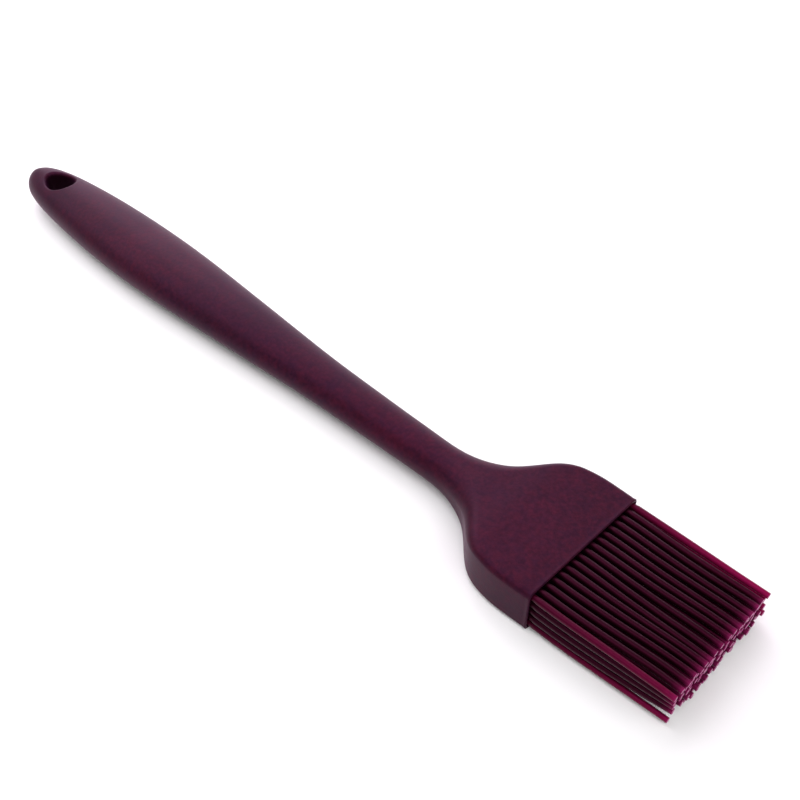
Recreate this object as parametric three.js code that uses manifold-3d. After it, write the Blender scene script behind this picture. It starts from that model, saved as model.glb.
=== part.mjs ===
// A silicone pastry brush: one soft plum-coloured moulding forms the grip, the slim neck and the flat head,
// a stiff core runs inside it, and a block of round silicone bristles, 17 across and 5 deep, fills the mouth of the head.
// Millimetres. +X runs along the brush towards the bristle tips, +Y across the head, +Z up.
// The brush lies on the plane z = 0 on the underside of its head and the belly of its grip.
// The origin is the centre of the footprint of the whole brush, on that plane.
import * as THREE from "three";
import { mergeVertices } from "three/addons/utils/BufferGeometryUtils.js";
import Module from "manifold-3d";

// ---- driving dimensions ----
const BODY_LENGTH = 231.2; // mouth of the head to the end of the grip
const BRISTLE_REACH = 37.0; // mouth of the head to the bristle tips
const MOUTH_X = (BODY_LENGTH - BRISTLE_REACH) / 2; // the whole brush is centred on the origin
const HEAD_HALF_THICK = 6.55; // half the head's thickness at the mouth
const HEAD_EDGE_R = 1.6; // edge radius round the head near the mouth
const RING = 32; // points round the body
const GAP = 0.3; // clearance between neighbouring pieces

const HOLE_CENTRE = -215.8; // hang hole, measured from the mouth
const HOLE_HALF_LENGTH = 5.6;
const HOLE_HALF_WIDTH = 4.5;

const POCKET_DEPTH = 7.0; // the mouth of the head, which holds the bristle block
const POCKET_HALF_W = 19.3;
const POCKET_HALF_T = 5.9;

const COLUMNS = 17;
const ROWS = 5;
const COLUMN_PITCH = 2.352;
const ROW_PITCH = 2.375;
const BRISTLE_ROOT_R = 0.93;
const BRISTLE_TIP_R = 0.8;
const ROOT_BEAD_R = 0.93; // bead that joins a row of bristles at its root, on which the row bends
const BRISTLE_SIDES = 8;

const CORE_END = -205.5; // end of the stiff core, short of the hang hole
const CORE_TONGUE_END = -3.0; // its tongue reaches into the bristle block

// Stations along the body, measured from the mouth: [x, half width, half thickness, height of the centre line].
const BODY = [
  [0, 20.1, 6.55, 6.55],
  [-6, 20.5, 6.55, 6.55],
  [-11, 20.5, 6.55, 6.55],
  [-15, 20.0, 6.55, 6.55],
  [-18, 19.2, 6.55, 6.55],
  [-21, 17.55, 6.5, 6.5],
  [-23.5, 15.3, 6.4, 6.4],
  [-26, 12.7, 6.25, 6.35],
  [-28.5, 10.4, 6.1, 6.35],
  [-31, 8.85, 5.9, 6.4],
  [-34, 7.55, 5.65, 6.4],
  [-37, 6.6, 5.4, 6.45],
  [-41, 5.85, 5.15, 6.45],
  [-46, 5.68, 5.05, 6.45],
  [-52, 5.85, 5.05, 6.5],
  [-60, 6.07, 5.1, 6.5],
  [-72, 6.45, 5.15, 6.5],
  [-90, 7.12, 5.3, 6.5],
  [-110, 8.42, 5.8, 6.6],
  [-130, 9.78, 6.34, 6.75],
  [-150, 11.06, 6.75, 6.9],
  [-162, 11.5, 6.92, 6.98],
  [-170, 11.6, 6.95, 7.02],
  [-180, 11.45, 6.94, 7.15],
  [-190, 11.05, 6.86, 7.3],
  [-200, 10.35, 6.65, 7.5],
  [-208, 9.6, 6.35, 7.6],
  [-216, 8.6, 5.9, 7.7],
  [-221, 7.65, 5.5, 7.75],
  [-225, 6.55, 5.0, 7.75],
  [-228, 5.15, 4.35, 7.75],
  [-230, 3.55, 3.45, 7.75],
  [-231, 1.75, 2.3, 7.75],
  [-BODY_LENGTH, 0.8, 1.5, 7.75],
];
// How far the section has turned from an ellipse (0) into a rectangle with rounded edges (1).
const SQUARE = [
  [-60, 0],
  [-46, 0.06],
  [-37, 0.22],
  [-31, 0.42],
  [-26, 0.66],
  [-21, 0.88],
  [-16, 1],
  [0, 1],
];
// The stiff core: an oval bar in the grip and neck that spreads into a flat paddle in the head.
const CORE = [
  [CORE_END, 2.6, 1.5, 7.55],
  [CORE_END + 3, 4.6, 2.4, 7.5],
  [-170, 6.4, 2.9, 7.02],
  [-130, 5.4, 2.7, 6.75],
  [-90, 3.9, 2.4, 6.5],
  [-60, 3.2, 2.3, 6.5],
  [-46, 3.1, 2.2, 6.45],
  [-37, 3.4, 2.0, 6.45],
  [-30, 4.6, 1.8, 6.4],
  [-24, 8.0, 1.6, 6.45],
  [-19, 11.5, 1.6, 6.55],
  [-14, 12.5, 1.6, 6.55],
  [CORE_TONGUE_END, 12.5, 1.6, 6.55],
];
const CORE_SQUARE = [
  [-60, 0],
  [-24, 0.6],
  [-14, 0.8],
  [0, 0.8],
];

// ---- solid tools ----
const wasm = await Module();
wasm.setup();

function solid(geometry) {
  const g = geometry.clone();
  g.deleteAttribute("normal");
  g.deleteAttribute("uv");
  const merged = mergeVertices(g, 1e-4);
  return new wasm.Manifold(
    new wasm.Mesh({
      numProp: 3,
      vertProperties: new Float32Array(merged.attributes.position.array),
      triVerts: new Uint32Array(merged.index.array),
    }),
  );
}

function geometryOf(manifold) {
  const m = manifold.getMesh();
  const position = new Float32Array((m.vertProperties.length / m.numProp) * 3);
  for (let i = 0; i < position.length / 3; i++)
    position.set(m.vertProperties.subarray(i * m.numProp, i * m.numProp + 3), i * 3);
  const g = new THREE.BufferGeometry();
  g.setAttribute("position", new THREE.BufferAttribute(position, 3));
  g.setIndex(new THREE.BufferAttribute(new Uint32Array(m.triVerts), 1));
  g.computeVertexNormals();
  return g;
}

function along(table, x) {
  const rows = [...table].sort((a, b) => a[0] - b[0]);
  if (x <= rows[0][0]) return rows[0][1];
  for (let i = 1; i < rows.length; i++)
    if (x <= rows[i][0]) {
      const t = (x - rows[i - 1][0]) / (rows[i][0] - rows[i - 1][0]);
      return rows[i - 1][1] + t * (rows[i][1] - rows[i - 1][1]);
    }
  return rows[rows.length - 1][1];
}

// A closed skin through sections across X. Each section is a rectangle whose corners are quarter ellipses,
// so it runs from a full ellipse to a slab with rounded edges.
function loft(stations, square, edgeRadius, ring, grow = 0) {
  const sorted = [...stations].sort((a, b) => a[0] - b[0]);
  const position = [];
  const index = [];
  const half = Math.PI / ring;
  const full = Math.cos(half);
  for (const [x, w, t, z] of sorted) {
    const q = along(square, x);
    const hw = w + grow;
    const ht = t + grow;
    const ry = hw + (Math.min(edgeRadius, hw) - hw) * q;
    const rz = ht + (Math.min(edgeRadius, ht) - ht) * q;
    for (let i = 0; i < ring; i++) {
      const a = half + (2 * Math.PI * i) / ring;
      const c = Math.cos(a);
      const s = Math.sin(a);
      position.push(
        x,
        Math.sign(c) * (hw - ry) + (ry * c) / full,
        z + Math.sign(s) * (ht - rz) + (rz * s) / full,
      );
    }
  }
  const n = sorted.length;
  for (let j = 0; j + 1 < n; j++)
    for (let i = 0; i < ring; i++) {
      const k = (i + 1) % ring;
      const a = j * ring + i;
      const b = j * ring + k;
      const c = (j + 1) * ring + k;
      const d = (j + 1) * ring + i;
      index.push(a, b, c, a, c, d);
    }
  const first = position.length / 3;
  position.push(sorted[0][0], 0, sorted[0][3]);
  position.push(sorted[n - 1][0], 0, sorted[n - 1][3]);
  for (let i = 0; i < ring; i++) {
    const k = (i + 1) % ring;
    index.push(first, k, i);
    index.push(first + 1, (n - 1) * ring + i, (n - 1) * ring + k);
  }
  const g = new THREE.BufferGeometry();
  g.setAttribute("position", new THREE.Float32BufferAttribute(position, 3));
  g.setIndex(index);
  return g;
}

function box(x0, x1, y0, y1, z0, z1) {
  const g = new THREE.BoxGeometry(x1 - x0, y1 - y0, z1 - z0);
  g.translate((x0 + x1) / 2, (y0 + y1) / 2, (z0 + z1) / 2);
  return g;
}

// ---- pieces ----
const brush = new THREE.Group();
brush.name = "pastry_brush";
brush.position.x = MOUTH_X; // every piece below is drawn from the mouth of the head

const matteSilicone = () =>
  new THREE.MeshStandardMaterial({ color: 0x46193a, roughness: 0.62, metalness: 0 });
const glossSilicone = () =>
  new THREE.MeshStandardMaterial({ color: 0x5a0b3c, roughness: 0.35, metalness: 0 });
const nylon = () =>
  new THREE.MeshStandardMaterial({ color: 0x2b2b2e, roughness: 0.55, metalness: 0 });

function piece(name, geometry, material) {
  const mesh = new THREE.Mesh(geometry, material);
  mesh.name = name;
  brush.add(mesh);
  return mesh;
}

// Stiff core with its paddle and the tongue that keys into the bristle block.
piece("handle_core", loft(CORE, CORE_SQUARE, 1.0, 12), nylon());

// Soft body: grip, neck and head in one skin, with the hang hole, the mouth pocket and the room that the core fills.
const hole = new THREE.Shape();
const outline = [];
for (let i = 0; i < 28; i++) {
  const a = (2 * Math.PI * i) / 28;
  const t = Math.cos(a); // +1 towards the head, where the hole is fuller
  outline.push(
    new THREE.Vector2(
      HOLE_CENTRE + HOLE_HALF_LENGTH * t,
      HOLE_HALF_WIDTH * Math.sin(a) * (0.97 + 0.13 * t),
    ),
  );
}
hole.setFromPoints(outline);
const holeCutter = new THREE.ExtrudeGeometry(hole, { depth: 40, bevelEnabled: false });
holeCutter.translate(0, 0, -12);

const coreRoom = CORE.map((s) => [...s]);
coreRoom[0][0] -= GAP;
const body = solid(loft(BODY, SQUARE, HEAD_EDGE_R, RING))
  .subtract(solid(holeCutter))
  .subtract(
    solid(
      box(
        -POCKET_DEPTH, 5,
        -POCKET_HALF_W, POCKET_HALF_W,
        HEAD_HALF_THICK - POCKET_HALF_T, HEAD_HALF_THICK + POCKET_HALF_T,
      ),
    ),
  )
  .subtract(solid(loft(coreRoom, CORE_SQUARE, 1.0 + GAP, 12, GAP)));
piece("silicone_body", geometryOf(body), matteSilicone());

// Block at the root of the bristles, seated in the mouth, slotted for the core's tongue.
const block = solid(
  box(
    -POCKET_DEPTH + GAP, -0.1,
    -POCKET_HALF_W + GAP, POCKET_HALF_W - GAP,
    HEAD_HALF_THICK - POCKET_HALF_T + GAP, HEAD_HALF_THICK + POCKET_HALF_T - GAP,
  ),
).subtract(
  solid(
    box(
      -POCKET_DEPTH - 2, CORE_TONGUE_END + GAP,
      -12.5 - GAP, 12.5 + GAP,
      HEAD_HALF_THICK - 1.6 - GAP, HEAD_HALF_THICK + 1.6 + GAP,
    ),
  ),
);
piece("bristle_block", geometryOf(block), glossSilicone());

// Five rows of bristles, row 1 on top. Each row bends at its root bead, just in front of the mouth.
const beadX = GAP + ROOT_BEAD_R;
const halfSpan = ((COLUMNS - 1) / 2) * COLUMN_PITCH;
for (let r = 0; r < ROWS; r++) {
  const z = HEAD_HALF_THICK + ((ROWS - 1) / 2 - r) * ROW_PITCH;
  const bead = new THREE.CylinderGeometry(ROOT_BEAD_R, ROOT_BEAD_R, 2 * halfSpan + 1.2, 8);
  bead.translate(beadX, 0, z); // the cylinder's own axis is +Y
  let row = solid(bead);
  for (let c = 0; c < COLUMNS; c++) {
    const length = BRISTLE_REACH - beadX;
    const bristle = new THREE.CylinderGeometry(
      BRISTLE_TIP_R, BRISTLE_ROOT_R - 0.02, length, BRISTLE_SIDES,
    );
    bristle.rotateY(Math.PI / BRISTLE_SIDES);
    bristle.rotateZ(-Math.PI / 2); // root to tip along +X
    bristle.translate(beadX + length / 2, -halfSpan + c * COLUMN_PITCH, z);
    row = row.add(solid(bristle));
  }
  piece("bristle_row_" + (r + 1), geometryOf(row), glossSilicone());
}

export default brush;
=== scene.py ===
import math

import bpy
import numpy as np
from mathutils import Matrix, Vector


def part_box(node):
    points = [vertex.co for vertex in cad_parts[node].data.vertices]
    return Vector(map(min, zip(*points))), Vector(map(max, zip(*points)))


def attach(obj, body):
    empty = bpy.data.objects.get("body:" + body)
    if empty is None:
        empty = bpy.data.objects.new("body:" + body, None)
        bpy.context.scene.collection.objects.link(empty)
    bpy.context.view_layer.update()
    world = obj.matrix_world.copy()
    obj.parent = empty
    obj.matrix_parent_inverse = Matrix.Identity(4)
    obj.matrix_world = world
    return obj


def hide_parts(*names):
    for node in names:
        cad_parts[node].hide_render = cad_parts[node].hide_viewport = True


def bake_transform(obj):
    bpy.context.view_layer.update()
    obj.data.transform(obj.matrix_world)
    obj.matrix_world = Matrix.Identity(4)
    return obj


# A silicone pastry brush: the soft moulded body (grip, neck, flat head), the block in its mouth
# and five rows of seventeen round bristles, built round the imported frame.
# The helpers work in millimetres measured from the mouth of the head; mesh_from() turns that into metres.

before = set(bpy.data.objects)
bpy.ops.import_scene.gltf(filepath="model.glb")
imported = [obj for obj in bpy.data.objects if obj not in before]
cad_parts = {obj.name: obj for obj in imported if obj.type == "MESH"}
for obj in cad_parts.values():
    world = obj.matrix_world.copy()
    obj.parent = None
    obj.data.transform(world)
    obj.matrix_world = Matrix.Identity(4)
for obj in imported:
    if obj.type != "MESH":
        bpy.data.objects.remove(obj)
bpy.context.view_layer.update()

lo_body, hi_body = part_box("silicone_body")
MOUTH = hi_body.x * 1000.0  # mouth plane of the head
HEAD_Z = 6.55  # centre height of the head
rng = np.random.default_rng(20417)

# Stations along the body: x from the mouth, half width, half thickness, height of the centre line.
BODY = np.array([
    [-231.2, 0.0, 0.0, 7.75],
    [-231, 1.75, 2.15, 7.75],
    [-230, 3.55, 3.45, 7.75],
    [-228, 5.15, 4.35, 7.75],
    [-225, 6.55, 5.0, 7.75],
    [-221, 7.65, 5.5, 7.75],
    [-216, 8.6, 5.9, 7.7],
    [-208, 9.6, 6.35, 7.6],
    [-200, 10.35, 6.65, 7.5],
    [-190, 11.05, 6.86, 7.3],
    [-180, 11.45, 6.94, 7.15],
    [-170, 11.6, 6.95, 7.02],
    [-162, 11.5, 6.92, 6.98],
    [-150, 11.06, 6.75, 6.9],
    [-130, 9.78, 6.34, 6.75],
    [-110, 8.42, 5.8, 6.6],
    [-90, 7.12, 5.3, 6.5],
    [-72, 6.45, 5.15, 6.5],
    [-60, 6.07, 5.1, 6.5],
    [-52, 5.85, 5.05, 6.5],
    [-46, 5.68, 5.05, 6.45],
    [-41, 5.85, 5.15, 6.45],
    [-37, 6.6, 5.4, 6.45],
    [-34, 7.55, 5.65, 6.4],
    [-31, 8.85, 5.9, 6.4],
    [-28.5, 10.4, 6.1, 6.35],
    [-26, 12.7, 6.25, 6.35],
    [-23.5, 15.3, 6.4, 6.4],
    [-21, 17.55, 6.5, 6.5],
    [-18, 19.2, 6.55, 6.55],
    [-15, 20.0, 6.55, 6.55],
    [-11, 20.6, 6.55, 6.55],
    [-6, 20.65, 6.55, 6.55],
    [0, 20.45, 6.55, 6.55],
])
SQUARE = np.array([
    [-232, 0], [-60, 0], [-46, 0.06], [-37, 0.22], [-31, 0.42], [-26, 0.66], [-21, 0.88], [-16, 1], [1, 1],
])
CORE_ROOM = np.array([
    [-205.8, 2.9, 1.8, 7.55], [-202.5, 4.9, 2.7, 7.5], [-170, 6.7, 3.2, 7.02], [-130, 5.7, 3.0, 6.75],
    [-90, 4.2, 2.7, 6.5], [-60, 3.5, 2.6, 6.5], [-46, 3.4, 2.5, 6.45], [-37, 3.7, 2.3, 6.45],
    [-30, 4.9, 2.1, 6.4], [-24, 8.3, 1.9, 6.45], [-19, 11.8, 1.9, 6.55], [-14, 12.8, 1.9, 6.55],
    [-7.0, 12.8, 1.9, 6.55],
])
EDGE_R = 1.6
RING = 144  # points round the body
QUAD = RING // 4

COLUMNS, ROWS = 17, 5
COLUMN_PITCH, ROW_PITCH = 2.352, 2.375
BRISTLE_REACH = 37.0


def spline(xs, ys):
    """A natural cubic spline through the stations."""
    xs, ys = np.asarray(xs, float), np.asarray(ys, float)
    n = len(xs)
    h = np.diff(xs)
    a = np.zeros((n, n))
    b = np.zeros(n)
    a[0, 0] = a[-1, -1] = 1.0
    for i in range(1, n - 1):
        a[i, i - 1], a[i, i], a[i, i + 1] = h[i - 1], 2 * (h[i - 1] + h[i]), h[i]
        b[i] = 3 * ((ys[i + 1] - ys[i]) / h[i] - (ys[i] - ys[i - 1]) / h[i - 1])
    c = np.linalg.solve(a, b)

    def f(x):
        x = np.asarray(x, float)
        i = np.clip(np.searchsorted(xs, x, side="right") - 1, 0, n - 2)
        d = (c[i + 1] - c[i]) / (3 * h[i])
        bb = (ys[i + 1] - ys[i]) / h[i] - h[i] * (2 * c[i] + c[i + 1]) / 3
        t = x - xs[i]
        return ys[i] + bb * t + c[i] * t * t + d * t ** 3

    return f


def smooth_curve(table, column, x0, sigma=1.1):
    """Values of one column along x, interpolated in sqrt(x - x0) so that the tail closes round, then eased."""
    u = np.sqrt(table[:, 0] - x0)
    f = spline(u, table[:, column])
    grid = np.arange(x0, 0.001, 0.1)
    raw = f(np.sqrt(np.maximum(grid - x0, 0)))
    k = np.arange(-40, 41) * 0.1
    w = np.exp(-0.5 * (k / sigma) ** 2)
    w /= w.sum()
    padded = np.concatenate([np.full(40, raw[0]), raw, 2 * raw[-1] - raw[-2:-42:-1]])
    eased = np.convolve(padded, w, mode="valid")
    mix = np.clip((grid - x0 - 8) / 20, 0, 1)  # the tail keeps its own curve
    mix = mix * mix * (3 - 2 * mix)
    return grid, raw * (1 - mix) + eased * mix


TAIL = BODY[0, 0]
_gx, _gw = smooth_curve(BODY, 1, TAIL)
_, _gt = smooth_curve(BODY, 2, TAIL)
_, _gz = smooth_curve(BODY, 3, TAIL)


def body_at(x):
    """Half width, half thickness and centre height of the body at x."""
    u = np.sqrt(max(x - TAIL, 0.0))
    ug = np.sqrt(np.maximum(_gx - TAIL, 0))
    return float(np.interp(u, ug, _gw)), float(np.interp(u, ug, _gt)), float(np.interp(u, ug, _gz))


_sq = spline(SQUARE[:, 0], SQUARE[:, 1])


def square_at(x):
    return float(np.clip(np.interp(x, SQUARE[:, 0], SQUARE[:, 1]) * 0.5 + np.clip(_sq(x), 0, 1) * 0.5, 0, 1))


def section(x, hw, ht, zc, ry, rz, count=RING):
    """A closed ring at x: a rectangle hw x ht with elliptical corners, its points spread by length and by turn."""
    quarter = count // 4
    a = np.linspace(0, math.pi / 2, 49)
    ys = [np.linspace(hw, hw, 9), hw - ry + ry * np.cos(a), np.linspace(hw - ry, 0, 33)]
    zs = [np.linspace(0, ht - rz, 9), ht - rz + rz * np.sin(a), np.linspace(ht, ht, 33)]
    y = np.concatenate([ys[0][:-1], ys[1], ys[2][1:]])
    z = np.concatenate([zs[0][:-1], zs[1], zs[2][1:]])
    dy, dz = np.diff(y), np.diff(z)
    length = np.hypot(dy, dz)
    keep = length > 1e-9
    y = np.concatenate([y[:1], y[1:][keep]])
    z = np.concatenate([z[:1], z[1:][keep]])
    dy, dz, length = np.diff(y), np.diff(z), length[keep]
    heading = np.unwrap(np.arctan2(dz, dy))
    turn = np.concatenate([[0], np.abs(np.diff(heading))])
    s = np.concatenate([[0], np.cumsum(length)])
    th = np.concatenate([[0], np.cumsum(turn)])
    t = 0.5 * s / s[-1] + 0.5 * th / max(th[-1], 1e-9)
    t /= t[-1]
    want = np.linspace(0, 1, quarter + 1)
    qy, qz = np.interp(want, t, y), np.interp(want, t, z)
    qy[0], qz[0], qy[-1], qz[-1] = hw, 0.0, 0.0, ht
    py = np.concatenate([qy[:-1], -qy[::-1][:-1], -qy[:-1], qy[::-1][:-1]])
    pz = np.concatenate([qz[:-1], qz[::-1][:-1], -qz[:-1], -qz[::-1][:-1]])
    return np.column_stack([np.full(count, x), py, zc + pz])


def body_ring(x, inset=0.0):
    hw, ht, zc = body_at(x)
    q = square_at(x)
    hw, ht = max(hw - inset, 1e-3), max(ht - inset, 1e-3)
    r = max(EDGE_R - inset, 0.05)
    ry = hw + (min(r, hw) - hw) * q
    rz = ht + (min(r, ht) - ht) * q
    return section(x, hw, ht, zc, ry, rz)


class Build:
    """Collects vertices and faces, in millimetres from the mouth."""

    def __init__(self):
        self.v = []
        self.f = []
        self.n = 0

    def add(self, points):
        points = np.asarray(points, float).reshape(-1, 3)
        self.v.append(points)
        ids = np.arange(self.n, self.n + len(points))
        self.n += len(points)
        return ids

    def strip(self, a, b, closed=True):
        m = len(a)
        for i in range(m if closed else m - 1):
            k = (i + 1) % m
            self.f.append((int(a[i]), int(a[k]), int(b[k]), int(b[i])))

    def fan(self, centre, ring):
        m = len(ring)
        for i in range(m):
            self.f.append((int(centre), int(ring[(i + 1) % m]), int(ring[i])))


def mesh_from(name, build, origin=(0.0, 0.0, 0.0), smooth=True, attributes=None):
    """A Blender object in the row frame, in metres, from points measured from the mouth."""
    pts = np.concatenate(build.v)
    pts = (pts + np.array([MOUTH, 0, 0])) * 0.001
    me = bpy.data.meshes.new(name)
    me.from_pydata([tuple(p) for p in pts], [], build.f)
    me.validate()
    me.update()
    for p in me.polygons:
        p.use_smooth = smooth
    for key, values in (attributes or {}).items():
        at = me.attributes.new(key, "FLOAT", "POINT")
        at.data.foreach_set("value", np.asarray(values, np.float32))
    ob = bpy.data.objects.new(name, me)
    bpy.context.scene.collection.objects.link(ob)
    return ob


def fix_normals(ob):
    import bmesh
    bm = bmesh.new()
    bm.from_mesh(ob.data)
    bmesh.ops.recalc_face_normals(bm, faces=bm.faces)
    bm.to_mesh(ob.data)
    bm.free()
    ob.data.update()


def hard_edges(ob, angle_deg):
    ob.data.set_sharp_from_angle(angle=math.radians(angle_deg))


# ---------------------------------------------------------------- silicone body

HOLE = -215.8
HOLE_L, HOLE_W = 5.6, 4.5
HOLE_FILLET = 1.1
BLOCK_LO, BLOCK_HI = -225.0, -206.0  # patch round the hang hole
BLOCK_CELLS = 24
BLOCK_HALF = 20  # ring points each side of the ridge


def hole_point(a, out=0.0):
    """Outline of the hang hole at angle a, fuller towards the head, offset outwards."""
    k = 0.97 + 0.13 * math.cos(a)
    x = HOLE + HOLE_L * math.cos(a)
    y = HOLE_W * math.sin(a) * k
    dx = -HOLE_L * math.sin(a)
    dy = HOLE_W * (math.cos(a) * k - 0.13 * math.sin(a) ** 2)
    n = math.hypot(dx, dy)
    return x + out * dy / n, y - out * dx / n


def skin(x, y, side):
    hw, ht, zc = body_at(x)
    return zc + side * ht * math.sqrt(max(1 - (y / hw) ** 2, 0.0))


def make_body():
    b = Build()
    tail = [TAIL + (BLOCK_LO - TAIL) * (i / 16) ** 2 for i in range(1, 16)]
    xs = tail + list(np.linspace(BLOCK_LO, BLOCK_HI, BLOCK_CELLS + 1))
    xs += list(np.linspace(-206, -40, 90)[1:]) + list(np.linspace(-40, -14, 36)[1:]) + list(np.linspace(-14, -1.5, 12)[1:])
    j0 = len(tail)
    j1 = j0 + BLOCK_CELLS
    rings = [b.add(body_ring(x)) for x in xs]
    pole = b.add([[TAIL, 0, BODY[0, 3]]])[0]
    b.fan(pole, rings[0])
    top, low = QUAD, 3 * QUAD
    for j in range(len(rings) - 1):
        in_block = j0 <= j < j1
        for i in range(RING):
            k = (i + 1) % RING
            if in_block and (top - BLOCK_HALF <= i < top + BLOCK_HALF or low - BLOCK_HALF <= i < low + BLOCK_HALF):
                continue
            b.f.append((int(rings[j][i]), int(rings[j][k]), int(rings[j + 1][k]), int(rings[j + 1][i])))

    # O-grid round the hang hole on each face, a rounded rim, then the wall through the grip
    walls = []
    for side, centre in ((1, top), (-1, low)):
        order = range(centre - BLOCK_HALF, centre + BLOCK_HALF + 1)
        if side < 0:
            order = reversed(order)
        cols = [c % RING for c in order]
        # a walk round the patch; cols run from +Y to -Y on both faces
        loop = [rings[j][cols[0]] for j in range(j0, j1)]
        loop += [rings[j1][c] for c in cols[:-1]]
        loop += [rings[j][cols[-1]] for j in range(j1, j0, -1)]
        loop += [rings[j0][c] for c in reversed(cols[1:])]
        flat = np.concatenate(b.v)
        edge = flat[loop]
        angles = [math.atan2(p[1] / HOLE_W, (p[0] - HOLE) / HOLE_L) for p in edge]
        rim = np.array([hole_point(a, HOLE_FILLET) for a in angles])
        previous = np.array(loop)
        steps = 9
        for r in range(1, steps + 1):
            t = r / steps
            t = t * (2 - t) * 0.5 + t * 0.5
            pts = []
            for p, q in zip(edge, rim):
                x = p[0] + (q[0] - p[0]) * t
                y = p[1] + (q[1] - p[1]) * t
                pts.append([x, y, skin(x, y, side)])
            ring = b.add(pts)
            b.strip(previous, ring)
            previous = ring
        turns = 9
        for r in range(1, turns + 1):
            beta = math.pi / 2 * r / turns
            pts = []
            for a in angles:
                x, y = hole_point(a, HOLE_FILLET * (1 - math.sin(beta)))
                pts.append([x, y, skin(x, y, side) - side * HOLE_FILLET * (1 - math.cos(beta))])
            ring = b.add(pts)
            b.strip(previous, ring)
            previous = ring
        walls.append(previous)
    flat = np.concatenate(b.v)
    upper, lower = flat[walls[0]], flat[walls[1]]
    wall_from = b.n
    previous = walls[0]
    for r in range(1, 8):
        t = r / 8
        ring = b.add(upper + (lower - upper) * t)
        b.strip(previous, ring)
        previous = ring
    b.strip(previous, walls[1])
    wall_to = b.n

    # lip of the mouth: outer round, flat, inner round, recess, pocket, room for the core
    hw, ht, zc = body_at(0.0)
    LIP_R, INNER_R = 0.24, 0.10
    RECESS = (19.86, 5.94, 1.05)

    def lip(x, f, proud=0.07):
        w = hw + (RECESS[0] - hw) * f + proud * (1 - f)
        t = ht + (RECESS[1] - ht) * f + proud * (1 - f)
        r = EDGE_R + (RECESS[2] - EDGE_R) * f
        points = section(x, w, t, zc, r, r)
        points[:, 2] = np.maximum(points[:, 2], 0.0)  # the underside stays flat on the table
        return b.add(points)

    previous = rings[-1]
    for x, proud in ((-1.2, 0.0), (-0.9, 0.01), (-0.6, 0.03), (-0.4, 0.06)):
        ring = lip(x, 0.0, proud)
        b.strip(previous, ring)
        previous = ring
    # the outer round eats sideways less than it does over the thin side walls
    for r in range(0, 7):
        beta = math.pi / 2 * r / 6
        ring = lip(-LIP_R + LIP_R * math.sin(beta), 0.62 * (1 - math.cos(beta)))
        b.strip(previous, ring)
        previous = ring
    for r in range(0, 5):
        beta = math.pi / 2 * r / 4
        ring = lip(-INNER_R * (1 - math.cos(beta)), 0.78 + 0.22 * math.sin(beta))
        b.strip(previous, ring)
        previous = ring
    for x, w, t, r in [(-0.6, 19.86, 5.94, 1.05), (-1.5, 19.86, 5.94, 1.05), (-2.45, 19.86, 5.94, 1.05),
                       (-2.45, 19.3, 5.9, 1.0), (-4.5, 19.3, 5.9, 1.0), (-7.0, 19.3, 5.9, 1.0)]:
        ring = b.add(section(x, w, t, zc, r, r))
        b.strip(previous, ring)
        previous = ring
    for t in (0.33, 0.66):
        w, h = 19.3 + (12.8 - 19.3) * t, 5.9 + (1.9 - 5.9) * t
        ring = b.add(section(-7.0, w, h, HEAD_Z, 1.0 + 2.6 * t, 1.0 + 0.4 * t))
        b.strip(previous, ring)
        previous = ring
    for x, w, t, z in CORE_ROOM[::-1]:
        q = float(np.interp(x, [-60, -24, -14, 0], [0, 0.6, 0.8, 0.8]))
        ring = b.add(section(x, w, t, z, w + (min(1.3, w) - w) * q, t + (min(1.3, t) - t) * q))
        b.strip(previous, ring)
        previous = ring
    end = b.add([[CORE_ROOM[0, 0], 0, CORE_ROOM[0, 3]]])[0]
    b.fan(end, previous)
    # painted shade: the hang hole's inner wall and its rim get a flag that darkens their colour in the material
    painted_hole_shade = np.zeros(b.n)
    painted_hole_shade[wall_from:wall_to] = 1.0
    painted_hole_shade[walls[0]] = painted_hole_shade[walls[1]] = 0.7
    ob = mesh_from("body_skin", b, attributes={"painted_hole_shade": painted_hole_shade})
    fix_normals(ob)
    return ob


# ---------------------------------------------------------------- block in the mouth

FACE_X = -1.6  # front of the block, just inside the lip


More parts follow.
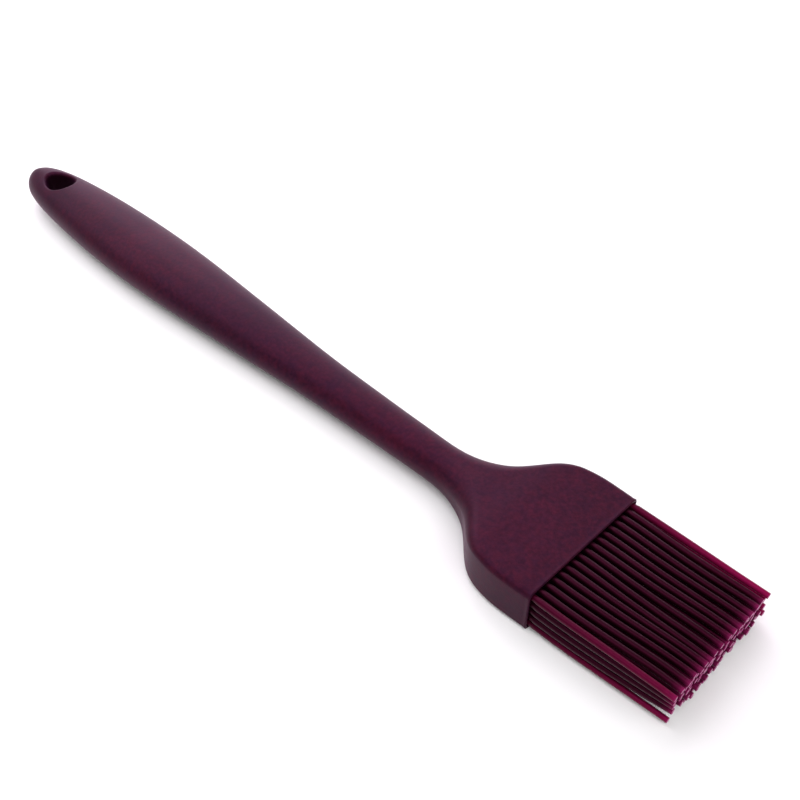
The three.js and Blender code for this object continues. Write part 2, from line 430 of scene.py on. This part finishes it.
def make_block():
    b = Build()

    def ring_at(x, w, t, r):
        return b.add(section(x, w, t, HEAD_Z, min(r, w), min(r, t), 96))

    seq = []
    for d in (5.6, 4.4, 3.0, 1.6, 0.8):
        seq.append((FACE_X, 19.82 - d, 5.9 - d, max(1.0 - d * 0.2, 0.2)))
    for r in range(0, 6):
        beta = math.pi / 2 * r / 5
        seq.append((FACE_X - 0.35 * (1 - math.cos(beta)), 19.82 - 0.35 * (1 - math.sin(beta)), 5.9 - 0.35 * (1 - math.sin(beta)), 1.0))
    seq += [(-2.1, 19.82, 5.9, 1.0), (-2.4, 19.78, 5.88, 1.0), (-2.4, 19.0, 5.6, 0.9), (-4.5, 19.0, 5.6, 0.9), (-6.3, 19.0, 5.6, 0.9)]
    for r in range(1, 5):
        beta = math.pi / 2 * r / 4
        seq.append((-6.3 - 0.4 * math.sin(beta), 19.0 - 0.4 * (1 - math.cos(beta)), 5.6 - 0.4 * (1 - math.cos(beta)), 0.8))
    seq += [(-6.7, 15.5, 3.6, 0.8), (-6.7, 13.0, 2.1, 0.5), (-6.5, 12.8, 1.9, 0.5), (-4.5, 12.8, 1.9, 0.5), (-2.7, 12.8, 1.9, 0.5)]
    previous = None
    first = None
    for x, w, t, r in seq:
        ring = ring_at(x, w, t, r)
        if previous is None:
            first = ring
        else:
            b.strip(previous, ring)
        previous = ring
    # close the front and the end of the slot across their flats
    for ring in (first, previous):
        m = len(ring)
        half = m // 2
        for i in range(half):
            # bridge the upper run with the lower one
            a0, a1 = ring[i], ring[i + 1]
            b0, b1 = ring[(m - i) % m], ring[(m - i - 1) % m]
            if a0 == b0:
                b.f.append((int(a0), int(a1), int(b1)))
            elif a1 == b1:
                b.f.append((int(a0), int(a1), int(b0)))
            else:
                b.f.append((int(a0), int(a1), int(b1), int(b0)))
    ob = mesh_from("mouth_block", b)
    fix_normals(ob)
    hard_edges(ob, 50)
    return ob


# ---------------------------------------------------------------- bristles

# Sideways set of the top row towards +Y at these reaches; column 1 is on the +Y side.
SET_X = [0, 3, 6, 12, 18, 24, 30, 34, 38]
SET = {
    1: [.00, .02, .04, .10, .20, .38, .50],
    2: [-0.00, -0.28, -0.35, -0.24, -0.00, 0.18, 0.28],
    3: [-0.00, -0.19, -0.28, -0.17, 0.16, 0.45, 0.63],
    4: [0.00, -0.19, -0.23, -0.12, 0.16, 0.30, 0.38],
    5: [0.00, -0.12, -0.06, 0.17, 0.51, 0.66, 0.75],
    6: [0.00, -0.16, -0.14, 0.07, 0.31, 0.44, 0.52],
    7: [-0.00, -0.06, -0.00, 0.26, 0.60, 0.71, 0.78],
    8: [-0.00, 0.01, 0.14, 0.52, 0.96, 1.13, 1.23],
    9: [-0.01, -0.12, -0.06, 0.07, 0.34, 0.40, 0.44],
    10: [-0.01, -0.20, -0.23, -0.20, 0.11, 0.18, 0.22],
    11: [-0.01, -0.10, -0.10, 0.04, 0.26, 0.33, 0.37],
    12: [-0.00, 0.00, 0.21, 0.55, 0.97, 1.13, 1.23],
    13: [0.00, 0.18, 0.48, 0.93, 1.40, 1.49, 1.54],
    14: [0.00, 0.27, 0.62, 1.16, 1.61, 1.79, 1.90],
    15: [0.00, 0.19, 0.56, 1.04, 1.49, 1.63, 1.71],
    16: [-0.00, 0.21, 0.58, 1.02, 1.49, 1.57, 1.62],
    17: [0.00, 0.17, 0.46, 0.76, 1.03, 1.22, 1.34],
}
ROW_LENGTH = [37.0, 36.9, 36.95, 36.95, 36.7]
ROW_SCATTER = [0.13, 0.22, 0.34, 0.42, 0.48]
ROW_DROOP = [0.85, 0.62, 0.42, 0.22, 0.04]
NEAR_SET = {
    2: {17: 0.45, 16: 0.3, 15: 0.15},
    3: {17: 0.85, 16: 0.75, 15: 0.5, 14: 0.35, 13: 0.2},
    4: {17: 1.15, 16: 1.25, 15: 0.95, 14: 0.5, 13: 0.3, 12: 0.2, 11: 0.2},
    5: {17: 0.12, 16: 1.9, 15: 1.5, 14: 0.85, 13: 0.6, 12: 0.4, 11: 0.45, 10: 0.25},
}
NEAR_LIFT = {2: {17: 0.2, 16: 0.1}, 3: {17: 0.45, 16: 0.3, 15: 0.2}, 4: {17: 0.65, 16: 0.5, 15: 0.35, 14: 0.2}, 5: {17: -0.05, 16: 0.95, 15: 0.8, 14: 0.5, 13: 0.3}}
SIDES = 16
ROOT_R, TIP_R = 0.93, 0.775


def lateral(column, x):
    values = [0.0, 0.0] + SET[column]
    return np.interp(x, SET_X, values)


def smooth_lateral(column):
    """The sideways set as an eased curve, so that no bristle has a kink."""
    grid = np.arange(-6, 44.01, 0.25)
    raw = lateral(column, np.clip(grid, 0, 38)) + np.clip(grid - 38, 0, 10) * 0.03
    k = np.arange(-12, 13) * 0.25
    w = np.exp(-0.5 * (k / 1.6) ** 2)
    w /= w.sum()
    padded = np.concatenate([np.full(12, raw[0]), raw, np.full(12, raw[-1])])
    return grid, np.convolve(padded, w, mode="valid")


CURVES = {c: smooth_lateral(c) for c in range(1, COLUMNS + 1)}


def make_row(row):
    """One row of bristles: seventeen tapered round rods with a small root fillet and a softly rimmed cut end."""
    b = Build()
    z0 = HEAD_Z + ((ROWS - 1) / 2 - (row - 1)) * ROW_PITCH
    along, tip, tone, painted_backlight_glow = [], [], [], []
    stations = [-3.0, -2.2, FACE_X + 0.0, FACE_X + 0.07, FACE_X + 0.16, FACE_X + 0.3, FACE_X + 0.5, FACE_X + 0.8, -0.3, 0.2, 0.7, 1.2, 1.7, 2.3, 3.0]
    stations += list(np.linspace(3.0, 33.0, 24)[1:])
    for c in range(1, COLUMNS + 1):
        y0 = ((COLUMNS - 1) / 2 - (c - 1)) * COLUMN_PITCH
        grid, dev = CURVES[c]
        near = c / COLUMNS
        gain = 1.0 if row == 1 else 1.0 + 0.06 * rng.standard_normal()
        extra = 0.0 if row == 1 else 0.10 * rng.standard_normal()
        lift = 0.0
        if row > 1:  # the lower bristles on the near side bunch inwards; the lowest corner one stands apart
            extra += NEAR_SET[row].get(c, 0.0)
            lift = NEAR_LIFT[row].get(c, 0.0)
        droop = ROW_DROOP[row - 1] + 0.07 * rng.standard_normal() - lift  # height lost at the tip
        reach = ROW_LENGTH[row - 1] + float(np.clip(rng.standard_normal(), -1.6, 1.6)) * ROW_SCATTER[row - 1] * (1.0 if c < 17 else 0.2)
        reach += 0.0 if c < 17 else {1: 0.0, 2: 0.0, 3: 0.0, 4: 0.1, 5: 0.1}[row]
        fat = 1.0 + 0.012 * rng.standard_normal() - (0.08 if c == 17 and row == 5 else 0.0)
        spin = rng.uniform(0, 2 * math.pi / SIDES)
        mood = rng.uniform(0, 1)
        # painted backlight glow: column 1 along the far edge, the near top corner bristle and the lowest near
        # corner bristle are tinted bright magenta, more strongly towards the tip
        light = {1: 0.92, 2: 0.06}.get(c, 0.0)
        if c == 17 and row == 1:
            light = 0.38
        if c == 17 and row == 5:
            light = 0.62
        xs = np.array(stations + list(np.linspace(33.0, reach, 7)[1:]))
        s = np.clip(xs / 37.0, 0, None)
        py = y0 + np.interp(xs, grid, dev) * gain + extra * s ** (3.0 if c >= 15 else 2.0)
        pz = z0 - (droop + lift) * s ** 2.2 + lift * s ** 3.0
        tangent = np.gradient(np.column_stack([xs, py, pz]), axis=0)
        tangent /= np.linalg.norm(tangent, axis=1)[:, None]
        radius = (ROOT_R + (TIP_R - ROOT_R) * np.clip(xs, 0, None) / 37.0) * fat
        neck = np.clip((xs - 0.2) / 1.5, 0, 1)  # each rod is a little slimmer where it leaves the mouth
        radius *= 0.86 + 0.14 * neck * neck * (3 - 2 * neck)
        flare = np.where(xs >= FACE_X, 0.3 * np.exp(-(xs - FACE_X) / 0.22), 0.0)
        radius = radius + flare
        a = spin + np.linspace(0, 2 * math.pi, SIDES, endpoint=False)
        rings = []

        def put(centre, t, r, push=0.0, is_tip=0.0, al=0.0):
            side = np.cross([0, 0, 1.0], t)
            side /= np.linalg.norm(side)
            up = np.cross(t, side)
            base = np.asarray(centre) + t * push
            pts = base + r * (np.cos(a)[:, None] * side + np.sin(a)[:, None] * up)
            ids = b.add(pts)
            along.extend([al] * len(a))
            tip.extend([is_tip] * len(a))
            tone.extend([mood] * len(a))
            painted_backlight_glow.extend([light * (0.25 + 0.75 * al)] * len(a))
            return ids

        for i, x in enumerate(xs[:-1]):
            rings.append(put((x, py[i], pz[i]), tangent[i], radius[i], al=max(x, 0) / 37.0))
        end = np.array([xs[-1], py[-1], pz[-1]])
        t = tangent[-1]
        r = radius[-1]
        rim = 0.13
        for k in range(0, 5):
            beta = math.pi / 2 * k / 4
            rings.append(put(end, t, r - rim * (1 - math.cos(beta)), push=-rim + rim * math.sin(beta), is_tip=k / 4, al=1.0))
        rings.append(put(end, t, r * 0.62, push=-0.02, is_tip=1.0, al=1.0))
        rings.append(put(end, t, r * 0.3, push=-0.05, is_tip=1.0, al=1.0))
        for p, q in zip(rings[:-1], rings[1:]):
            b.strip(p, q)
        centre = b.add([end - t * 0.055])[0]
        along.append(1.0), tip.append(1.0), tone.append(mood), painted_backlight_glow.append(light)
        b.fan(centre, rings[-1])
        root = b.add([[xs[0], py[0], pz[0]]])[0]
        along.append(0.0), tip.append(0.0), tone.append(mood), painted_backlight_glow.append(light)
        b.fan(root, rings[0])
    ob = mesh_from("bristles_%d" % row, b, attributes={"along": along, "tip": tip, "tone": tone, "painted_backlight_glow": painted_backlight_glow})
    fix_normals(ob)
    return ob


# ---------------------------------------------------------------- materials

def new_material(name):
    m = bpy.data.materials.new(name)
    m.use_nodes = True
    nt = m.node_tree
    nt.nodes.clear()
    out = nt.nodes.new("ShaderNodeOutputMaterial")
    bsdf = nt.nodes.new("ShaderNodeBsdfPrincipled")
    nt.links.new(bsdf.outputs["BSDF"], out.inputs["Surface"])
    return m, nt, bsdf


def noise(nt, vector, scale, detail=3.0, rough=0.5, distortion=0.0):
    n = nt.nodes.new("ShaderNodeTexNoise")
    n.inputs["Scale"].default_value = scale
    n.inputs["Detail"].default_value = detail
    n.inputs["Roughness"].default_value = rough
    n.inputs["Distortion"].default_value = distortion
    nt.links.new(vector, n.inputs["Vector"])
    return n.outputs["Fac"]


def ramp(nt, fac, stops):
    r = nt.nodes.new("ShaderNodeValToRGB")
    while len(r.color_ramp.elements) > 1:
        r.color_ramp.elements.remove(r.color_ramp.elements[-1])
    for i, (pos, colour) in enumerate(stops):
        e = r.color_ramp.elements[0] if i == 0 else r.color_ramp.elements.new(pos)
        e.position = pos
        e.color = (*colour, 1.0)
    nt.links.new(fac, r.inputs["Fac"])
    return r.outputs["Color"]


def remap(nt, value, lo, hi, to_lo, to_hi):
    m = nt.nodes.new("ShaderNodeMapRange")
    m.inputs["From Min"].default_value = lo
    m.inputs["From Max"].default_value = hi
    m.inputs["To Min"].default_value = to_lo
    m.inputs["To Max"].default_value = to_hi
    nt.links.new(value, m.inputs["Value"])
    return m.outputs["Result"]


def mix_colour(nt, fac, a, b, mode="MIX"):
    m = nt.nodes.new("ShaderNodeMix")
    m.data_type = "RGBA"
    m.blend_type = mode
    if isinstance(fac, (int, float)):
        m.inputs[0].default_value = fac
    else:
        nt.links.new(fac, m.inputs[0])
    for socket, value in ((6, a), (7, b)):
        if isinstance(value, tuple):
            m.inputs[socket].default_value = (*value, 1.0)
        else:
            nt.links.new(value, m.inputs[socket])
    return m.outputs[2]


def bump(nt, height, strength, distance, normal=None):
    n = nt.nodes.new("ShaderNodeBump")
    n.inputs["Strength"].default_value = strength
    n.inputs["Distance"].default_value = distance
    nt.links.new(height, n.inputs["Height"])
    if normal is not None:
        nt.links.new(normal, n.inputs["Normal"])
    return n.outputs["Normal"]


def attribute(nt, name):
    n = nt.nodes.new("ShaderNodeAttribute")
    n.attribute_name = name
    return n.outputs["Fac"]


def matte_silicone():
    m, nt, p = new_material("matte_silicone")
    co = nt.nodes.new("ShaderNodeTexCoord").outputs["Object"]
    broad = noise(nt, co, 38, 3, 0.55, 0.3)
    fine = noise(nt, co, 900, 4, 0.6)
    grain = noise(nt, co, 5200, 2, 0.5)
    base = ramp(nt, broad, [(0.34, (0.0215, 0.0042, 0.0108)), (0.45, (0.0250, 0.0042, 0.0120)), (0.55, (0.0288, 0.0043, 0.0114)), (0.68, (0.0330, 0.0046, 0.0128))])
    blotch = ramp(nt, noise(nt, co, 470, 3, 0.66, 0.4), [(0.38, (0.80, 0.96, 1.02)), (0.47, (0.95, 0.99, 1.0)), (0.53, (1.04, 1.01, 0.99)), (0.62, (1.19, 1.02, 0.97))])
    base = mix_colour(nt, 1.0, base, blotch, "MULTIPLY")
    fleck = ramp(nt, fine, [(0.36, (0.78, 0.80, 0.81)), (0.50, (1.0, 1.0, 1.0)), (0.64, (1.26, 1.20, 1.23))])
    colour = mix_colour(nt, 1.0, base, fleck, "MULTIPLY")
    # painted shade: the colour inside the hang hole is mixed towards near black
    colour = mix_colour(nt, attribute(nt, "painted_hole_shade"), colour, (0.007, 0.0012, 0.003))  # inside the hang hole
    nt.links.new(colour, p.inputs["Base Color"])
    nt.links.new(remap(nt, fine, 0.3, 0.7, 0.39, 0.47), p.inputs["Roughness"])
    n1 = bump(nt, grain, 0.22, 0.00006)
    n2 = bump(nt, fine, 0.16, 0.00016, n1)
    nt.links.new(n2, p.inputs["Normal"])
    p.inputs["IOR"].default_value = 1.43
    p.inputs["Specular IOR Level"].default_value = 0.16
    p.inputs["Specular Tint"].default_value = (1.0, 0.30, 0.78, 1.0)
    p.inputs["Sheen Weight"].default_value = 0.04
    p.inputs["Sheen Roughness"].default_value = 0.42
    p.inputs["Sheen Tint"].default_value = (1.0, 0.20, 0.80, 1.0)
    return m


def bristle_silicone():
    m, nt, p = new_material("bristle_silicone")
    co = nt.nodes.new("ShaderNodeTexCoord").outputs["Object"]
    fine = noise(nt, co, 1100, 3, 0.55)
    streak = nt.nodes.new("ShaderNodeMapping")
    streak.inputs["Scale"].default_value = (0.12, 1.0, 1.0)
    nt.links.new(co, streak.inputs["Vector"])
    lines = noise(nt, streak.outputs["Vector"], 2600, 3, 0.6)
    al = attribute(nt, "along")
    tp = attribute(nt, "tip")
    tone = attribute(nt, "tone")
    # painted glow: each bristle stays near black along its length, a little darker at the root, then turns bright
    # magenta over the last few millimetres to the tip
    base = ramp(nt, al, [(0.0, (0.0050, 0.0003, 0.0014)), (0.84, (0.0072, 0.0004, 0.0019)), (0.925, (0.0130, 0.0006, 0.0040)), (0.968, (0.048, 0.0018, 0.0155)), (1.0, (0.135, 0.007, 0.050))])
    # painted backlight glow: the flagged bristles are mixed towards bright magenta
    base = mix_colour(nt, attribute(nt, "painted_backlight_glow"), base, (0.190, 0.0028, 0.044))
    each = ramp(nt, tone, [(0.0, (0.86, 0.86, 0.86)), (1.0, (1.16, 1.12, 1.14))])
    colour = mix_colour(nt, 1.0, base, each, "MULTIPLY")
    fleck = ramp(nt, fine, [(0.3, (0.9, 0.88, 0.9)), (0.7, (1.1, 1.08, 1.1))])
    colour = mix_colour(nt, 1.0, colour, fleck, "MULTIPLY")
    # painted glow: the cut ends are tinted pale pink
    colour = mix_colour(nt, remap(nt, tp, 0.25, 0.85, 0.0, 0.85), colour, (0.40, 0.085, 0.24))
    nt.links.new(colour, p.inputs["Base Color"])
    nt.links.new(remap(nt, lines, 0.3, 0.7, 0.32, 0.40), p.inputs["Roughness"])
    n1 = bump(nt, lines, 0.10, 0.00004)
    n2 = bump(nt, fine, 0.10, 0.00008, n1)
    nt.links.new(n2, p.inputs["Normal"])
    p.inputs["IOR"].default_value = 1.43
    p.inputs["Specular IOR Level"].default_value = 0.38
    p.inputs["Specular Tint"].default_value = (1.0, 0.12, 0.40, 1.0)
    return m


def nylon():
    m, nt, p = new_material("core_nylon")
    co = nt.nodes.new("ShaderNodeTexCoord").outputs["Object"]
    fine = noise(nt, co, 700, 4, 0.6)
    base = ramp(nt, noise(nt, co, 60, 3), [(0.3, (0.018, 0.018, 0.020)), (0.7, (0.027, 0.026, 0.029))])
    nt.links.new(base, p.inputs["Base Color"])
    nt.links.new(remap(nt, fine, 0.3, 0.7, 0.42, 0.58), p.inputs["Roughness"])
    nt.links.new(bump(nt, fine, 0.2, 0.0001), p.inputs["Normal"])
    return m


def floor_material():
    m, nt, p = new_material("pale_floor")
    co = nt.nodes.new("ShaderNodeTexCoord").outputs["Object"]
    n = noise(nt, co, 14, 2)
    nt.links.new(ramp(nt, n, [(0.3, (0.90, 0.90, 0.90)), (0.7, (0.92, 0.92, 0.92))]), p.inputs["Base Color"])
    p.inputs["Roughness"].default_value = 0.85
    p.inputs["Specular IOR Level"].default_value = 0.15
    return m


# ---------------------------------------------------------------- camera, light, floor

scene = bpy.context.scene
scene.view_settings.view_transform = "Standard"
scene.view_settings.look = "None"
scene.view_settings.exposure = 0.0
scene.view_settings.gamma = 1.0

RIGHT = (0.7166885528671137, 0.6973025881980448, 0.011252496680738503)
DOWN = (0.4891483793524331, -0.49111584568471495, -0.7207906000318506)
AHEAD = (-0.49708287152760594, 0.5220865125720975, -0.6930615356692179)
camera_data = bpy.data.cameras.new("camera")
camera_data.sensor_width = 36.0
camera_data.lens = 49.533
camera_data.clip_start = 0.01
camera_data.clip_end = 50.0
camera = bpy.data.objects.new("camera", camera_data)
camera.matrix_world = Matrix((
    (RIGHT[0], -DOWN[0], -AHEAD[0], 0.17613),
    (RIGHT[1], -DOWN[1], -AHEAD[1], -0.14601),
    (RIGHT[2], -DOWN[2], -AHEAD[2], 0.21270),
    (0, 0, 0, 1),
))
scene.collection.objects.link(camera)
scene.camera = camera

world = bpy.data.worlds.new("studio")
scene.world = world
world.use_nodes = True
wn = world.node_tree
wn.nodes.clear()
w_out = wn.nodes.new("ShaderNodeOutputWorld")
w_bg = wn.nodes.new("ShaderNodeBackground")
wn.links.new(w_bg.outputs["Background"], w_out.inputs["Surface"])
w_co = wn.nodes.new("ShaderNodeTexCoord")
w_xyz = wn.nodes.new("ShaderNodeSeparateXYZ")
wn.links.new(w_co.outputs["Generated"], w_xyz.inputs[0])
w_map = wn.nodes.new("ShaderNodeMapRange")
w_map.inputs["From Min"].default_value = -1.0
w_map.inputs["From Max"].default_value = 1.0
wn.links.new(w_xyz.outputs["Z"], w_map.inputs["Value"])
w_ramp = wn.nodes.new("ShaderNodeValToRGB")
SKY = [(0.0, 0.62), (0.5, 0.62), (0.56, 0.50), (0.66, 0.28), (0.80, 0.18), (1.0, 0.14)]
w_ramp.color_ramp.elements.remove(w_ramp.color_ramp.elements[-1])
for i, (pos, level) in enumerate(SKY):
    e = w_ramp.color_ramp.elements[0] if i == 0 else w_ramp.color_ramp.elements.new(pos)
    e.position = pos
    e.color = (level, level, level, 1.0)
wn.links.new(w_map.outputs["Result"], w_ramp.inputs["Fac"])
wn.links.new(w_ramp.outputs["Color"], w_bg.inputs["Color"])
w_bg.inputs["Strength"].default_value = 1.0


def sun(name, direction, strength, angle_deg, colour=(1.0, 1.0, 1.0)):
    """A soft source so far away that the floor is lit evenly. direction points from the light to the object."""
    data = bpy.data.lights.new(name, "SUN")
    data.energy = strength
    data.angle = math.radians(angle_deg)
    data.color = colour
    ob = bpy.data.objects.new(name, data)
    d = np.array(direction, float)
    d /= np.linalg.norm(d)
    z = -d
    x = np.cross([0, 0, 1.0], z)
    x /= np.linalg.norm(x)
    y = np.cross(z, x)
    ob.matrix_world = Matrix((
        (x[0], y[0], z[0], 0), (x[1], y[1], z[1], 0), (x[2], y[2], z[2], 1.5), (0, 0, 0, 1)))
    scene.collection.objects.link(ob)
    return ob


def soft(name, elevation, azimuth, strength, angle_deg=45, colour=(1.0, 1.0, 1.0)):
    """A softbox at an elevation and an azimuth (degrees from +X towards +Y)."""
    e, a = math.radians(elevation), math.radians(azimuth)
    return sun(name, (-math.cos(e) * math.cos(a), -math.cos(e) * math.sin(a), -math.sin(e)), strength, angle_deg, colour)


soft("softbox_right_front", 54, 330, 1.02)
soft("softbox_right", 40, 20, 0.76)
soft("softbox_back_low", 18, 130, 1.40, 62, (1.0, 0.74, 0.97))
soft("softbox_left", 40, 200, 0.15)
soft("softbox_front_high", 66, 275, 0.74)

near_data = bpy.data.lights.new("softbox_over_grip", "AREA")
near_data.shape = "SQUARE"
near_data.size = 0.62
near_data.energy = 2.55
near_data.color = (1.0, 0.93, 1.0)
near_light = bpy.data.objects.new("softbox_over_grip", near_data)
place = np.array([-0.33, 0.03, 0.44])
z_axis = place - np.array([-0.06, 0.0, 0.0])
z_axis /= np.linalg.norm(z_axis)
x_axis = np.cross([0, 0, 1.0], z_axis)
x_axis /= np.linalg.norm(x_axis)
y_axis = np.cross(z_axis, x_axis)
near_light.matrix_world = Matrix((
    (x_axis[0], y_axis[0], z_axis[0], place[0]), (x_axis[1], y_axis[1], z_axis[1], place[1]),
    (x_axis[2], y_axis[2], z_axis[2], place[2]), (0, 0, 0, 1)))
scene.collection.objects.link(near_light)

floor_build = Build()
n = 24
side = np.linspace(-6000, 6000, n + 1)
grid_ids = floor_build.add([[x - MOUTH, y, -0.02] for x in side for y in side]).reshape(n + 1, n + 1)
for i in range(n):
    for j in range(n):
        floor_build.f.append((int(grid_ids[i, j]), int(grid_ids[i + 1, j]), int(grid_ids[i + 1, j + 1]), int(grid_ids[i, j + 1])))
floor = mesh_from("floor", floor_build)
floor.data.materials.append(floor_material())

# ---------------------------------------------------------------- assemble

matte = matte_silicone()
gloss = bristle_silicone()

body = make_body()
body.data.materials.append(matte)
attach(body, "root")
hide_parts("silicone_body")

block = make_block()
block.data.materials.append(gloss)
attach(block, "root")
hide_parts("bristle_block")

for k in range(1, ROWS + 1):
    row = make_row(k)
    row.data.materials.append(gloss)
    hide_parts("bristle_row_%d" % k)
    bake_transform(row)

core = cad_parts["handle_core"]
core_material = nylon()
if core.material_slots:
    for slot in core.material_slots:
        slot.material = core_material
else:
    core.data.materials.append(core_material)
